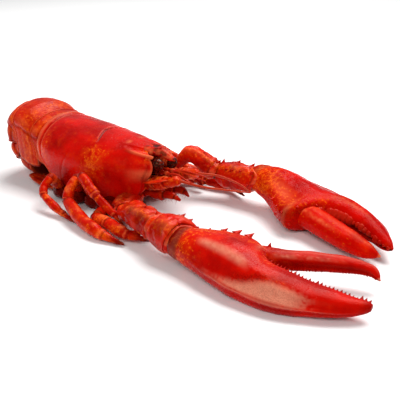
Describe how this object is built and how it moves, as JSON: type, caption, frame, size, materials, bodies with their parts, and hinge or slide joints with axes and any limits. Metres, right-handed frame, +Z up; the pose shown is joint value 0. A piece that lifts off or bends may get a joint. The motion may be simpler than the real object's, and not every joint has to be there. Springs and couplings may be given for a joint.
{
  "type": "cooked lobster",
  "caption": "Whole cooked red lobster resting on its belly, claws stretched forward, legs folded along the body and tail curled under.",
  "frame": {"origin": "middle of the footprint's bounding box, at table height", "axes": "+X forward from tail to claw tips, +Y the animal's left, +Z up"},
  "size_m": [0.3256, 0.1424, 0.0576],
  "materials": {
    "shell": "glossy cooked shell, deep red with orange mottling",
    "limb": "glossy cooked shell, orange red with pale mottling",
    "fan": "thin cooked shell, red with a paler hairy margin",
    "eye": "wet black to red-brown"
  },
  "bodies": {
    "root": {"carapace": "shell", "somite_1": "shell", "somite_2": "shell", "somite_3": "shell", "somite_4": "shell", "somite_5": "shell", "somite_6": "shell", "claw_left": "shell", "claw_right": "shell", "finger_left": "shell", "finger_right": "shell", "sternum": "limb", "ischium_left": "limb", "ischium_right": "limb", "merus_left": "limb", "merus_right": "limb", "carpus_left": "limb", "carpus_right": "limb", "mouth_leg_left": "limb", "mouth_leg_right": "limb", "antenna_base_left": "limb", "antenna_base_right": "limb", "antennule_left": "limb", "antennule_right": "limb", "antenna_left": "limb", "antenna_right": "limb", "leg_1_upper_left": "limb", "leg_1_upper_right": "limb", "leg_1_wrist_left": "limb", "leg_1_wrist_right": "limb", "leg_1_lower_left": "limb", "leg_1_lower_right": "limb", "leg_2_upper_left": "limb", "leg_2_upper_right": "limb", "leg_2_wrist_left": "limb", "leg_2_wrist_right": "limb", "leg_2_lower_left": "limb", "leg_2_lower_right": "limb", "leg_3_upper_left": "limb", "leg_3_upper_right": "limb", "leg_3_wrist_left": "limb", "leg_3_wrist_right": "limb", "leg_3_lower_left": "limb", "leg_3_lower_right": "limb", "leg_4_upper_left": "limb", "leg_4_upper_right": "limb", "leg_4_wrist_left": "limb", "leg_4_wrist_right": "limb", "leg_4_lower_left": "limb", "leg_4_lower_right": "limb", "telson": "fan", "uropod_inner_left": "fan", "uropod_inner_right": "fan", "uropod_outer_left": "fan", "uropod_outer_right": "fan", "eye_left": "eye", "eye_right": "eye"}
  },
  "joints": []
}
